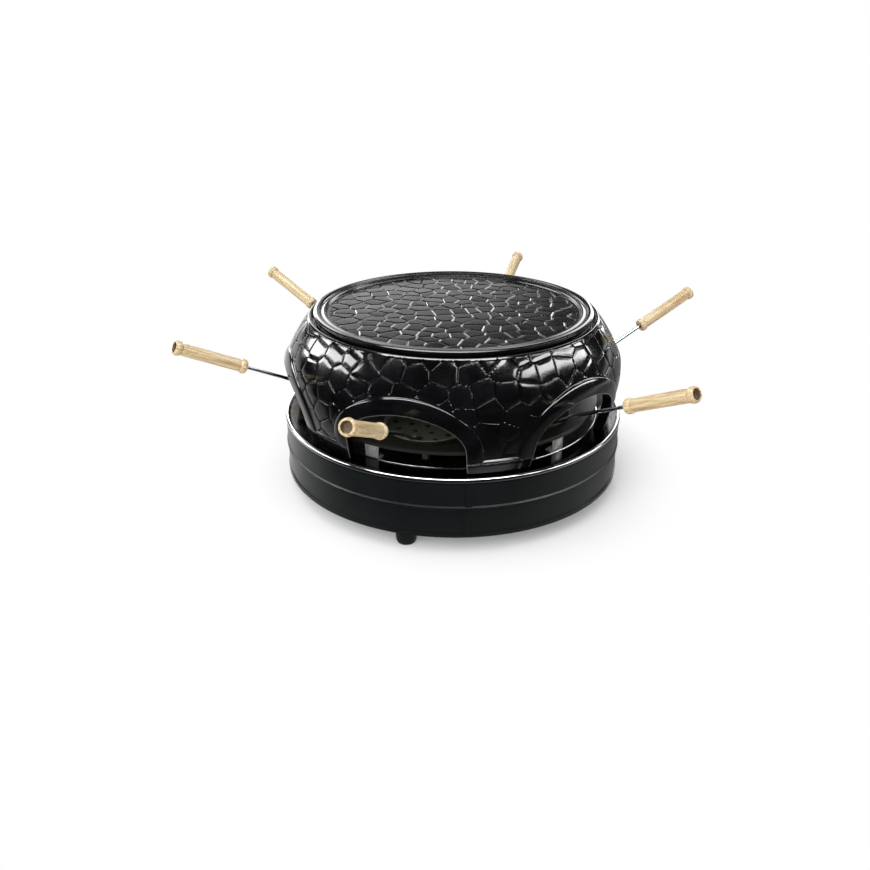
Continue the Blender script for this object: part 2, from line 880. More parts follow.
@dataclass
class Hood:
    """The glazed dome with its six open arches and the seat of the grill plate.

    Heights are above its own foot. Each arch has a smooth band round it, with a rounded arris, a soft
    fall and a toe where the cobbles begin. The gaps and fades are where the cobbles' relief starts and how
    far it takes to reach its depth, at the arch's band, at the foot's band and at the lip.
    """

    foot_z: float = 82.1
    height: float = 114.0
    wall: float = 10.0
    max_r: float = 191.0
    bulge: float = 11.0
    bulge_h: float = 60.0
    shoulder: float = 29.0
    arch_half: float = 61.5
    jamb_h: float = 27.0
    arch_rise: float = 37.0
    inner_steps: int = 26
    jamb_steps: int = 59
    curve_points: int = 457
    field_steps: int = 157
    corner: float = 0.27
    band_w: float = 16.0
    band_out: float = 2.3
    fall_w: float = 7.5
    fall_low: float = 0.5
    toe_w: float = 1.2
    foot_edge_r: float = 1.4
    foot_band_h: float = 17.0
    foot_band_out: float = 2.0
    foot_fall: float = 1.6
    field_gap: float = 0.6
    field_fade: float = 2.4
    foot_gap: float = 0.5
    foot_fade: float = 2.0
    lip_fade: float = 0.9
    inner_top: float = 92.0
    crown_in: float = 100.0
    opening_r: float = 138.0
    seat_h: float = 108.0
    recess_r: float = 158.5
    recess_flare: float = 0.6
    lip_in: float = 1.5
    lip_z: float = 112.4
    edge_r: float = 1.3
    inner_edge_r: float = 1.5
    seed: int = 11
    cobbles: Cobbles = Cobbles(23.0, 0.84, 1.12, 0.3, 0.95, 1.45, crown=0.22, crown_w=5.0, tilt=0.006, step=0.2)

    def radius(self, h: Array) -> Array:
        """Works out the outer radius: a bulge below, a shoulder above.

        Args:
            h: Heights above the foot.

        Returns:
            The radius at each height.
        """
        low = self.max_r - self.bulge * ((self.bulge_h - h) / self.bulge_h) ** 2
        rise = np.clip(h - self.bulge_h, 0.0, None) / (self.height - self.bulge_h)
        return np.where(h < self.bulge_h, low, self.max_r - self.shoulder * rise**1.5)

    def slope(self, h: Array) -> Array:
        """Works out how fast the outer radius grows with the height.

        Args:
            h: Heights above the foot.

        Returns:
            The growth of the radius at each height.
        """
        low = 2 * self.bulge * (self.bulge_h - h) / self.bulge_h**2
        span = self.height - self.bulge_h
        high = -1.5 * self.shoulder / span * (np.clip(h - self.bulge_h, 0.0, None) / span) ** 0.5
        return np.where(h < self.bulge_h, low, high)

    def with_jambs(self, across: Array, up: Array) -> tuple[Array, Array]:
        """Returns the places across and up of the arch's curve, with those of both jambs added at its ends."""
        jamb = np.linspace(0.0, self.jamb_h, self.jamb_steps, endpoint=False)
        return np.pad(across, self.jamb_steps, "edge"), np.concatenate([jamb, up, jamb[::-1]])

    def outline(self, margin: float) -> tuple[Array, Array]:
        """Works out the arch's outline, widened by a margin.

        Args:
            margin: The margin in millimetres.

        Returns:
            The points' distances from the arch's middle, and their heights above the foot.
        """
        angle = np.linspace(math.pi, 0.0, self.curve_points)
        x = (self.arch_half + margin) * np.cos(angle)
        return self.with_jambs(x, self.jamb_h + (self.arch_rise + margin) * np.sin(angle))

    def border(self, top: float) -> tuple[Array, Array]:
        """Works out where each column of the arch's grid meets the edge of its sixth of the hood.

        Args:
            top: The height of the sixth's upper edge.

        Returns:
            The columns' angles from the arch's middle in radians, and their heights.
        """
        share, side = np.linspace(0.0, 1.0, self.curve_points), math.pi / ARCHES
        turns = [0.0, self.corner, 1 - self.corner, 1.0]
        angle = np.interp(share, turns, [-side, -side, side, side])
        return self.with_jambs(angle, np.interp(share, turns, [self.jamb_h, top, top, self.jamb_h]))

    def between(self, margin: float, inset: float, top: float, share: Array) -> tuple[Array, Array]:
        """Works out the rows between the arch's outline and the edge of its sixth of the hood.

        Args:
            margin: How far the outline is widened, in millimetres.
            inset: How far the skin lies inside the hood's outer surface.
            top: The height of the sixth's upper edge.
            share: The place of each row, from 0 at the outline to 1 at the edge.

        Returns:
            The angles from the arch's middle in radians, and the heights, as rows by columns.
        """
        x, h0 = self.outline(margin)
        angle0 = np.arcsin(x / (self.radius(h0) - inset))
        angle1, h1 = self.border(top)
        return angle0 + (angle1 - angle0) * share[:, None], h0 + (h1 - h0) * share[:, None]

    def foot_edge(self, h: Array) -> Array:
        """Returns how far the foot's rounded edge draws the surface in."""
        r = self.foot_edge_r
        return r - np.sqrt(np.clip(r**2 - np.clip(r - h, 0.0, r) ** 2, 0.0, None))

    def foot_band(self, h: Array) -> Array:
        """Returns how far the foot's smooth band stands proud of the hood."""
        return self.foot_band_out * (1 - smooth_step((h - self.foot_band_h + self.foot_fall) / self.foot_fall))

    def inner_rows(self) -> Array:
        """Places the rows of the inner skin, from the edge of the sixth to the arch.

        Returns:
            The rows of points.
        """
        share = np.linspace(1.0, 0.0, self.inner_steps)
        angle, h = self.between(self.inner_edge_r, self.wall, self.inner_top, share)
        return polar(self.radius(h) - self.wall + self.foot_edge(h), angle, h)

    def edge_row(self, margin: float, out: float, outside: bool = False) -> Array:
        """Works out a row of points round the arch.

        Args:
            margin: How far the row lies from the arch's edge, in millimetres.
            out: How far it stands out of the hood's outer surface.
            outside: Whether it is on the outside, where the foot's band and its rounded edge shape it.

        Returns:
            The points.
        """
        x, h = self.outline(margin)
        reach = self.radius(h) + out
        if outside:
            reach = self.radius(h) + np.maximum(out, self.foot_band(h)) - self.foot_edge(h)
        return np.stack([x, -np.sqrt(reach**2 - x**2), h], axis=-1)

    def edge_rows(self) -> list[Array]:
        """Places the rows of the arch's own edges: inner rounding, tunnel, outer rounding, band, fall and toe.

        Returns:
            The rows, one set of points each.
        """
        r, deep = self.inner_edge_r, self.inner_edge_r - self.wall
        rows = [self.edge_row(r * (1 - math.sin(a)), deep - r * math.cos(a)) for a in quarter(4)[1:]]
        inside, outside = self.edge_row(0.0, deep), self.edge_row(0.0, self.band_out - self.edge_r)
        tunnel, band_start, band_step = (0.3, 0.6, 1.0), self.edge_r + 0.8, 1.0
        rows += [inside + (outside - inside) * share for share in tunnel]
        r, start, drop = self.edge_r, self.band_w - self.fall_w, self.band_out - self.fall_low
        steps = [(r * (1 - math.cos(a)), self.band_out - r * (1 - math.sin(a))) for a in quarter(7)[1:]]
        steps += [(margin, self.band_out) for margin in np.arange(band_start, start, band_step)]
        steps += [(start + self.fall_w * math.sin(a), self.fall_low + drop * math.cos(a)) for a in quarter(13)]
        toe = [(self.toe_w * (1 - math.cos(a)), self.fall_low * (1 - math.sin(a))) for a in quarter(4)[1:]]
        steps += [(self.band_w + margin, out) for margin, out in toe]
        return rows + [self.edge_row(margin, out, outside=True) for margin, out in steps]

    def field_rows(self, seeds: Array, turn: float) -> Array:
        """Works out the rows of cobbles between the arch's band and the edge of its sixth.

        Args:
            seeds: The middle of each stone, on the whole hood.
            turn: The turn of this sixth, in radians.

        Returns:
            The rows of points.
        """
        share = np.linspace(0.0, 1.0, self.field_steps)
        angle, h = self.between(self.band_w + self.toe_w, 0.0, self.lip_z, share)
        plain, slope = self.radius(h), self.slope(h)
        depth = self.cobbles.depth(polar(plain, angle + turn, h).reshape(-1, 3), seeds, self.seed).reshape(h.shape)
        away = np.hypot((angle - angle[0]) * self.max_r, h - h[0]) - self.field_gap
        over, below = h - self.foot_band_h - self.foot_gap, self.lip_z - h
        for gap, fade in ((away, self.field_fade), (over, self.foot_fade), (below, self.lip_fade)):
            depth = depth * smooth_step(gap / fade)
        depth = depth / np.sqrt(1 + slope**2)
        reach = plain + self.foot_band(h) - self.foot_edge(h) - depth
        return polar(reach, angle, h + depth * slope)[1:]

    def stones(self) -> Array:
        """Scatters the stones' middles over the hood in rows, each row half a stone out of step.

        Returns:
            The stones' middles.
        """
        rng = np.random.default_rng(self.seed)
        stone, play = self.cobbles.stone, self.cobbles.play
        row_h = stone * self.cobbles.row
        low, over, first_row, past_top = 2.0, 4.0, 8.0, 12.0
        heights = np.linspace(low, self.height + over, 400)
        radii = self.radius(np.minimum(heights, self.height))
        ground = np.append(0.0, np.cumsum(np.hypot(np.diff(heights), np.diff(radii))))
        seeds = []
        for k, along in enumerate(np.arange(first_row, ground[-1] + past_top, row_h)):
            h = float(np.interp(along, ground, heights))
            count = max(8, round(2 * math.pi * float(self.radius(h)) / (stone * self.cobbles.along)))
            for i in range(count):
                angle = 2 * math.pi * (i + 0.5 * (k % 2)) / count
                angle += rng.uniform(-play, play) * stone / self.max_r
                up = h + rng.uniform(-play, play) * row_h
                seeds.append(polar(self.radius(up), angle, up))
        return np.array(seeds)

    def lip_profile(self) -> Points:
        """Draws the profile from the outer lip over the recess and the seat to the inner skin.

        Returns:
            The profile's points.
        """
        outer = float(self.radius(self.lip_z))
        inner = float(self.radius(self.inner_top)) - self.wall
        corners = [(outer, self.lip_z), (outer - self.lip_in, self.height)]
        corners += [(self.recess_r + self.recess_flare, self.height)]
        corners += [(self.recess_r, self.seat_h), (self.opening_r, self.seat_h)]
        corners += [(self.opening_r, self.crown_in), (inner, self.inner_top)]
        return fillet(corners, 1.1, 4)[1:-1]

    def build(self) -> Piece:
        """Builds the hood from its six equal sixths.

        Returns:
            The hood, in its place.
        """
        shell, seeds = Shell(), self.stones()
        inner, edges = self.inner_rows(), self.edge_rows()
        _, height = self.border(self.lip_z)
        lip_columns = np.flatnonzero(np.isclose(height, self.lip_z))
        feet = []
        for k in range(ARCHES):
            turn = k * 2 * math.pi / ARCHES
            rows = np.concatenate([inner, edges, self.field_rows(seeds, turn)])
            relief = np.zeros(rows.shape[:2])
            relief[len(inner) + ARRIS_ROWS] = 1.0
            index = shell.grid(rows @ np.array(around(math.degrees(turn)).to_3x3()).T, relief=relief)
            feet.append((index[:, 0], index[:, -1]))
            ring, seam = rows[-1, lip_columns], rows[0, lip_columns[0]]
            ends = [(float(np.hypot(x, y)), float(z)) for x, y, z in (ring[0], seam)]
            shell.grid(sweep([ends[0], *self.lip_profile(), ends[1]], np.arctan2(ring[:, 0], -ring[:, 1]) + turn))
        for k in range(ARCHES):
            shell.cap([*feet[k][1], *feet[(k + 1) % ARCHES][0][::-1]])
        piece = shell.build("hood_dome", sharp=20.0)
        piece.data.transform(shift(0.0, 0.0, self.foot_z))
        return piece

    def make(self, shop: Workshop) -> None:
        """Builds the hood and dresses it."""
        shop.place(self.build(), "hood", Slot.GLAZE, "dome")


# ---------- the grill plate ----------


@dataclass
class GrillPlate:
    """The cast plate that lies in the hood's seat: a cobbled field, a step, a crowned rim and a rib below."""

    top: float = 202.1
    seat: float = 190.3
    floor: float = 197.1
    outer_r: float = 154.5
    flange_r: float = 156.5
    flange_low: float = 196.6
    field_r: float = 140.0
    edge_gap: float = 1.0
    edge_fade: float = 2.0
    thickness: float = 5.0
    rib_in: float = 130.5
    rib_out: float = 136.5
    rib_drop: float = 4.0
    rings: int = 290
    stones_to: float = 180.0
    seed: int = 5
    cobbles: Cobbles = Cobbles(20.5, 0.86, 1.0, 0.33, 1.3, 1.0, crown=0.05, crown_w=4.0, tilt=0.006, step=0.12)

    def stones(self) -> Array:
        """Scatters the stones' middles over the field in staggered rows.

        Returns:
            The stones' middles.
        """
        rng = np.random.default_rng(self.seed)
        stone, play, half = self.cobbles.stone, self.cobbles.play, self.stones_to
        seeds = []
        for j, y in enumerate(np.arange(-half, half, stone * self.cobbles.row)):
            for x in np.arange(-half, half, stone * self.cobbles.along):
                move = rng.uniform(-play, play, 2) * stone
                seeds.append((x + (j % 2) * stone / 2 + move[0], y + move[1], 0.0))
        return np.array(seeds)

    def build(self) -> Piece:
        """Builds the plate.

        Returns:
            The plate, in its place.
        """
        shell = Shell()
        flat = disc(self.rings) * self.field_r
        plain = np.concatenate([flat, np.zeros((*flat.shape[:2], 1))], axis=-1)
        depth = self.cobbles.depth(plain.reshape(-1, 3), self.stones(), self.seed).reshape(flat.shape[:2])
        inside = self.field_r - self.edge_gap - np.linalg.norm(flat, axis=-1)
        depth = depth * smooth_step(inside / self.edge_fade)
        plain[..., 2] = self.floor - depth
        shell.grid(plain, relief=depth)
        ring = np.concatenate([flat[0, :-1], flat[:-1, -1], flat[-1, :0:-1], flat[:0:-1, 0]])
        shell.grid(sweep(self.profile(), np.arctan2(ring[:, 0], -ring[:, 1])), wrap=True)
        return shell.build("grill_cobbled_plate", sharp=18.0)

    def profile(self) -> Points:
        """Draws the profile from the field's edge over the step, the rim and the rib to the middle below.

        Returns:
            The profile's points.
        """
        r, rim, under, rib = self.field_r + 1.6, self.flange_r, self.floor - self.thickness, self.seat - self.rib_drop
        step = [(0.0, 0.0), (0.7, 1.9), (2.0, 3.2), (3.4, 3.4), (6.4, 2.5)]
        corners = [(self.field_r, self.floor)] + [(r + out, self.floor + up) for out, up in step]
        corners += [(r + 7.0, self.top - 1.1), (r + 9.0, self.top - 0.1)]
        corners += [(rim - 3.6, self.top), (rim - 1.4, self.top - 0.6), (rim, self.top - 1.9), (rim, self.flange_low)]
        corners += [(self.outer_r, self.flange_low), (self.outer_r, self.seat + 2.0), (self.outer_r - 1.6, self.seat)]
        corners += [(self.rib_out, self.seat), (self.rib_out, rib), (self.rib_in, rib), (self.rib_in, under)]
        return fillet([*corners, (0.0, under)], 0.9, 4)

    def make(self, shop: Workshop) -> None:
        """Builds the plate and dresses it."""
        shop.place(self.build(), "grill", Slot.GRILL, "grill_plate")


# ---------- the drum ----------


@dataclass
class Drum:
    """The painted wall and the bottom cover, whose CAD shapes are kept, and the polished rim."""

    sheet: float = 1.2
    ledge_z: float = 82.0
    ledge_in: float = 168.5
    lip_bead_r: float = 1.2
    bead_r: float = 2.8
    bead_at: float = 192.9
    bead_z: float = 81.2
    skirt_r: float = 193.6
    skirt_low: float = 71.0
    segments: int = 288

    def build_rim(self) -> Piece:
        """Builds the rolled rim with its ledge, lip bead and skirt.

        Returns:
            The rim.
        """
        low, high, ledge_out = self.ledge_z - self.sheet, self.ledge_z, self.bead_at - 1.0
        out, inside = self.skirt_r, self.skirt_r - self.sheet
        skirt = [(inside, low), (inside, self.skirt_low), (out, self.skirt_low), (out, low + 0.6)]
        shell = Shell()
        shell.lathe(self.circle(self.bead_at, self.bead_z, self.bead_r, 20), self.segments)
        shell.lathe([(self.ledge_in, high), (ledge_out, high)], self.segments, (1.0, 1.0))
        shell.lathe([(ledge_out, low), (self.ledge_in, low)], self.segments)
        shell.lathe(self.circle(self.ledge_in, self.ledge_z, self.lip_bead_r, 12), self.segments)
        shell.lathe(fillet(skirt, 0.4, 3), self.segments)
        return shell.build("drum_rim", sharp=60.0)

    def circle(self, at: float, z: float, r: float, steps: int) -> Points:
        """Returns the closed profile of a round bead."""
        return [(at + r * math.cos(a), z + r * math.sin(a)) for a in np.linspace(0.0, 2 * math.pi, steps + 1)]

    def make(self, shop: Workshop) -> None:
        """Builds the rim, and dresses it and the CAD pieces of the wall and the bottom.

        Args:
            shop: What places and dresses the pieces.
        """
        shop.dress(Slot.DRUM, "base_shell")
        shop.place(self.build_rim(), "base", Slot.POLISHED, "rim_ring")
        shop.dress(Slot.ZINC, "bottom_cover", "cover_tabs")
        shop.dress(Slot.SCREW, "foot_screws", "foot_nuts", "cover_screws")


@dataclass
class Foot:
    """One moulded foot, with a screw recess below."""

    number: int
    at: float = 180.0
    r: float = 11.0
    h: float = 17.9
    recess_r: float = 5.4
    recess_h: float = 9.0
    hole_r: float = 2.2

    def build(self) -> Piece:
        """Builds the foot with a rounded, drawn-in edge below and its screw recess.

        Returns:
            The foot, in its place.
        """
        shell = Shell()
        corners = [(self.hole_r, self.recess_h), (self.recess_r, self.recess_h), (self.recess_r, 0.0)]
        corners += [(self.r - 1.6, 0.0), (self.r - 0.6, 2.4), (self.r, 6.0), (self.r, self.h)]
        corners += [(self.hole_r, self.h), corners[0]]
        shell.lathe(fillet(corners, 1.1, 4), 64)
        place = around((self.number - 1) * 360 / FEET) @ shift(0.0, -self.at, 0.0)
        return shell.build(f"foot_{self.number}_moulded", 50.0, place)

    def make(self, shop: Workshop) -> None:
        """Builds the foot and dresses it."""
        shop.place(self.build(), "base", Slot.FOOT, f"foot_{self.number}")


@dataclass
class Fittings:
    """The cord gland and the switch in the lower panel of the wall, whose CAD shapes are kept."""

    def make(self, shop: Workshop) -> None:
        """Dresses the gland, the switch housing and the rocker."""
        shop.dress(Slot.PLASTIC, "cord_gland", "switch_housing")
        shop.dress(Slot.ROCKER, "switch_rocker")


# ---------- the heating ----------


@dataclass
class PlateLeg:
    """One leg of the baking plate: a strip bent inwards at its foot and at its wider head."""

    number: int
    at: float = 165.6
    turn: float = -15.0
    sheet: float = 1.2
    fold: float = 10.0
    bevel: float = 0.3
    width: float = 16.0
    head_w: float = 17.0
    head_h: float = 6.0

    def build(self) -> Piece:
        """Builds the leg between the heights of its CAD node.

        Returns:
            The leg, in its place.
        """
        low, high = (corner[2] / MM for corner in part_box(f"plate_leg_{self.number}"))
        half = self.sheet / 2
        near, far = self.at - self.fold, self.at - half
        middle = [(near, low + half), (far, low + half), (far, high - half), (near, high - half)]
        path = np.array(fillet(middle, 1.6, 6))
        share = smooth_step((path[:, 1] - high + self.head_h) / 2.0)
        wide = (self.width + (self.head_w - self.width) * share) / 2
        # Across the strip a point's place is a share of half its width; through the sheet it is in millimetres.
        side = 1 - self.bevel / (self.width / 2)
        section = [(-1, self.bevel - half), (-side, -half), (side, -half), (1, self.bevel - half)]
        section += [(x, -t) for x, t in reversed(section)]
        shell = Shell()
        shell.bar(
            [
                [(w * x, -(point[0] + t * way[1]), point[1] - t * way[0]) for x, t in section]
                for point, way, w in zip(path, headings(path), wide)
            ]
        )
        return shell.build(f"plate_leg_{self.number}_bent", 50.0, around(self.turn + (self.number - 1) * 360 / LEGS))

    def make(self, shop: Workshop) -> None:
        """Builds the leg and dresses it."""
        shop.place(self.build(), "base", Slot.SHEET, f"plate_leg_{self.number}")


@dataclass
class Heating:
    """The drip tray, the elements with their carriers, and the baking plate."""

    plate_r: float = 168.0
    plate_top: float = 100.0
    plate_t: float = 1.6
    edge_h: float = 4.0
    hole_r: float = 16.0

    def build_plate(self) -> Piece:
        """Builds the baking plate with its turned-down edge and a rolled bead round its middle hole.

        Returns:
            The baking plate.
        """
        shell = Shell()
        low, foot, inside = self.plate_top - self.plate_t, self.plate_top - self.edge_h, self.plate_r - self.plate_t
        corners = [(self.hole_r, low), (self.hole_r, self.plate_top), (self.plate_r, self.plate_top)]
        corners += [(self.plate_r, foot), (inside, foot), (inside, low), corners[0]]
        shell.lathe(fillet(corners, 1.2, 5), 192)
        return shell.build("baking_plate_coated", sharp=50.0)

    def make(self, shop: Workshop) -> None:
        """Builds the baking plate, and dresses it and the CAD pieces of the heating.

        Args:
            shop: What places and dresses the pieces.
        """
        shop.place(self.build_plate(), "base", Slot.PLATE, "baking_plate")
        shop.dress(Slot.POLISHED, "drip_tray")
        shop.dress(Slot.SHEATH, "lower_element", "upper_element")
        shop.dress(Slot.SHEET, "lower_cradles", "heater_column", "upper_bracket")


@dataclass
class Wiring:
    """The terminal block, the thermostat, the thermal fuse and the wires, whose CAD shapes are kept."""

    def make(self, shop: Workshop) -> None:
        """Dresses the pieces under the drip tray.

        Args:
            shop: What places and dresses the pieces.
        """
        shop.dress(Slot.BLOCK, "terminal_block", "thermal_fuse")
        shop.dress(Slot.ZINC, "thermostat")
        shop.dress(Slot.SLEEVE, "wiring_loom")


# ---------- a spatula ----------


@dataclass
class Spatula:
    """One pizza spatula: a dimpled pan, a chromed rod with a riveted blade, and a turned handle.

    Sizes that end in _s are distances from the hood's axis when the spatula lies straight in its arch. The
    grain is how much further each handle is turned on its rod, in degrees, so that no two look the same.
    """

    number: int
    skew: float
    side: float
    pull: float
    gate_r: float = 185.5
    pan_s: float = 111.0
    pan_r: float = 47.0
    pan_h: float = 6.0
    pan_t: float = 1.2
    pan_rings: int = 62
    floor_z: float = 100.2
    foot_in: float = 3.0
    rim_w: float = 2.4
    rim_t: float = 1.0
    dimple_r: float = 3.6
    dimple_d: float = 0.7
    dimple_edge: float = 0.9
    dimple_pitch: float = 18.0
    dimple_gap: float = 9.0
    floor_gap: float = 1.0
    blade_z: float = 101.5
    blade_s: float = 152.8
    blade_len: float = 10.0
    blade_w: float = 13.0
    blade_t: float = 1.6
    bend_in: float = 2.6
    bend_out: float = 0.6
    round_from: float = 3.5
    round_over: float = 4.5
    rod_r: float = 1.9
    rod_sides: int = 24
    rivet_x: float = 3.4
    rivet_s: float = 147.8
    rivet_r: float = 2.6
    rivet_h: float = 1.0
    over_s: float = 158.5
    over_z: float = 108.5
    knee_s: float = 177.0
    knee_z: float = 121.4
    slope: float = 26.5
    handle_s: float = 242.0
    handle_len: float = 80.0
    handle_r: float = 6.7
    bead_out: float = 1.3
    bead_len: float = 7.0
    neck_r: float = 6.1
    hole_r: float = 5.3
    hole_h: float = 5.0
    rod_in: float = 40.0
    grain: float = 37.0

    def frame(self) -> Matrix:
        """Returns the place of the spatula in its arch."""
        arch = around((self.number - 1) * 360 / ARCHES) @ shift(self.side, -self.gate_r, 0.0)
        return arch @ around(self.skew) @ shift(0.0, self.gate_r - self.pull, 0.0)

    def handle_z(self) -> float:
        """Returns the height of the handle's near end."""
        return self.knee_z + (self.handle_s - self.knee_s) * math.tan(math.radians(self.slope))

    def dimples(self, flat: Array) -> Array:
        """Works out the depth of the floor's dimples, which stand in staggered rows.

        Args:
            flat: Points of the floor, as distances from its middle.

        Returns:
            The depth in millimetres at each point.
        """
        row_h, edge = self.dimple_pitch * 0.8, self.dimple_edge
        depth = np.zeros(flat.shape[:-1])
        for j in range(-3, 4):
            for i in range(-3, 4):
                centre = ((i + 0.5 * (j % 2)) * self.dimple_pitch, j * row_h)
                if math.hypot(*centre) <= self.pan_r - self.dimple_gap:
                    away = np.hypot(flat[..., 0] - centre[0], flat[..., 1] - centre[1])
                    depth = np.maximum(depth, 1 - smooth_step((away - self.dimple_r + edge) / edge))
        return depth * self.dimple_d

    def build_pan(self) -> Piece:
        """Builds the pan, whose marked places hold the darker coat.

        Returns:
            The pan, in its place.
        """
        shell = Shell()
        foot_r, low = self.pan_r - self.foot_in, self.pan_h - self.rim_t
        inner = foot_r - self.pan_t - self.floor_gap
        flat = disc(self.pan_rings) * inner
        depth = self.dimples(flat)
        floor = np.concatenate([flat, (self.pan_t - depth)[..., None]], axis=-1)
        shell.grid(floor, relief=np.minimum(depth / self.dimple_d, 1.0))
        corners = [(inner, self.pan_t), (foot_r - self.pan_t, self.pan_t), (self.pan_r - self.rim_w, self.pan_h)]
        corners += [(self.pan_r, self.pan_h), (self.pan_r, low), (self.pan_r - self.pan_t, low), (foot_r, 0.0)]
        profile = fillet([*corners, (0.0, 0.0)], 1.0, 4)
        outside = profile.index(max(profile, key=lambda point: point[0]))
        dark = [0.9 if i > outside else 0.0 for i in range(len(profile))]
        shell.lathe(profile, 8 * self.pan_rings, dark)
        return shell.build(f"spatula_{self.number}_pan", 50.0, self.frame() @ shift(0.0, -self.pan_s, self.floor_z))

    def build_rod(self) -> Piece:
        """Builds the rod, flattened to a blade at the pan, with its two rivets.

        Returns:
            The rod, in its place.
        """
        shell = Shell()
        tilt = math.radians(self.slope)
        middle, top = self.blade_z + self.blade_t / 2, self.blade_z + self.blade_t
        end = (self.handle_s + self.rod_in * math.cos(tilt), self.handle_z() + self.rod_in * math.sin(tilt))
        corners = [(self.blade_s - self.blade_len, middle), (self.blade_s - self.bend_in, middle)]
        corners += [(self.blade_s - self.bend_out, self.over_z), (self.over_s, self.over_z)]
        corners += [(self.knee_s, self.knee_z), end]
        path = np.array(fillet(corners[:4], 2.4, 6)[:-1] + fillet(corners[2:], 9.0, 10)[1:])
        gone = np.append(0.0, np.cumsum(np.linalg.norm(np.diff(path, axis=0), axis=1)))
        # The section turns from a flat blade, with a high power, to the round wire.
        share = smooth_step((gone - self.blade_len + self.round_from) / self.round_over)
        wide, tall = (size / 2 + (self.rod_r - size / 2) * share for size in (self.blade_w, self.blade_t))
        turn = turns(self.rod_sides)
        rows = []
        for point, way, w, t, power in zip(path, headings(path), wide, tall, 2 / (6 - 4 * share)):
            x, up = (s * np.sign(v) * np.abs(v) ** power for s, v in ((w, np.cos(turn)), (t, np.sin(turn))))
            rows.append(np.stack([x, -(point[0] - up * way[1]), point[1] + up * way[0]], axis=-1))
        shell.bar(rows)
        head = [(self.rivet_r * math.cos(a), self.rivet_h * math.sin(a)) for a in quarter(6)]
        rivet = sweep([(self.rivet_r, -self.blade_t), *head], turns(self.rod_sides))
        for x in (-self.rivet_x, self.rivet_x):
            shell.grid(rivet + np.array([x, -self.rivet_s, top]), wrap=True)
        return shell.build(f"spatula_{self.number}_rod", 50.0, self.frame())

    def handle_profile(self) -> Points:
        """Draws the profile of the handle, from the rod's hole to the recess at the outer end.

        Returns:
            The profile's points.
        """
        proud, long, bore = self.handle_r + self.bead_out, self.handle_len, self.rod_r + 0.05
        bead = [(self.handle_r - 0.2, 0.0), (proud - 0.5, 0.9), (proud, self.bead_len / 2)]
        bead += [(proud - 0.5, self.bead_len - 0.9), (self.neck_r, self.bead_len + 0.2)]
        bead += [(self.neck_r, self.bead_len + 1.0), (self.handle_r - 0.1, self.bead_len + 2.2)]
        belly = [(self.handle_r, long * share) for share in (0.2, 0.5, 0.8)]
        mirror = [(r, long - z) for r, z in reversed(bead)]
        recess = [(self.hole_r, long), (self.hole_r, long - self.hole_h), (0.0, long - self.hole_h)]
        return fillet([(bore, 6.0), (bore, 0.0), *bead, *belly, *mirror, *recess], 1.2, 4)

    def build_handle(self) -> Piece:
        """Builds the handle, whose recess is marked as end grain.

        Returns:
            The handle, in its place.
        """
        shell = Shell()
        profile = self.handle_profile()
        recess_z = self.handle_len - self.hole_h - 1.0
        bored = [0.85 if r < self.hole_r + 0.1 and z > recess_z else 0.0 for r, z in profile]
        shell.lathe(profile, 56, bored)
        tilt = Matrix.Rotation(math.radians(90 - self.slope), 4, "X")
        place = self.frame() @ shift(0.0, -self.handle_s, self.handle_z()) @ tilt @ around(self.grain * self.number)
        return shell.build(f"spatula_{self.number}_handle", 60.0, place)

    def make(self, shop: Workshop) -> None:
        """Builds the spatula's three pieces and dresses them.

        Args:
            shop: What places and dresses the pieces.
        """
        body, n = f"spatula_{self.number}", self.number
        shop.place(self.build_pan(), body, Slot.PAN, f"pan_{n}")
        shop.place(self.build_rod(), body, Slot.ROD, f"rod_{n}")
        shop.place(self.build_handle(), body, Slot.BEECH, f"handle_{n}")


# ---------- the studio ----------


@dataclass
class Softbox:
    """A rectangular lamp, at an angle from the front arch and at a height in degrees, that is aimed at the oven."""

    name: str
    turn: float
    height: float
    away: float
    width: float
    depth: float
    power: float
    roll: float = 0.0
    gloss_only: bool = True

    def make(self, target: Vector) -> None:
        """Makes the lamp, which either shows in gloss or lights what is matt.

        Args:
            target: The point that it is aimed at.
        """
        data = bpy.data.lights.new(self.name, "AREA")
        data.shape = "RECTANGLE"
        data.size, data.size_y, data.energy = self.width, self.depth, self.power
        lamp = stand(self.name, data)
        way = around(self.turn) @ Matrix.Rotation(math.radians(-self.height), 4, "X") @ Vector((0.0, -1.0, 0.0))
        lamp.location = target + way * self.away
        aim = way.to_track_quat("Z", "Y") @ Quaternion((0.0, 0.0, 1.0), math.radians(self.roll))
        lamp.rotation_euler = aim.to_euler()
        lamp.visible_camera = False
        lamp.visible_diffuse = not self.gloss_only
        lamp.visible_glossy = self.gloss_only


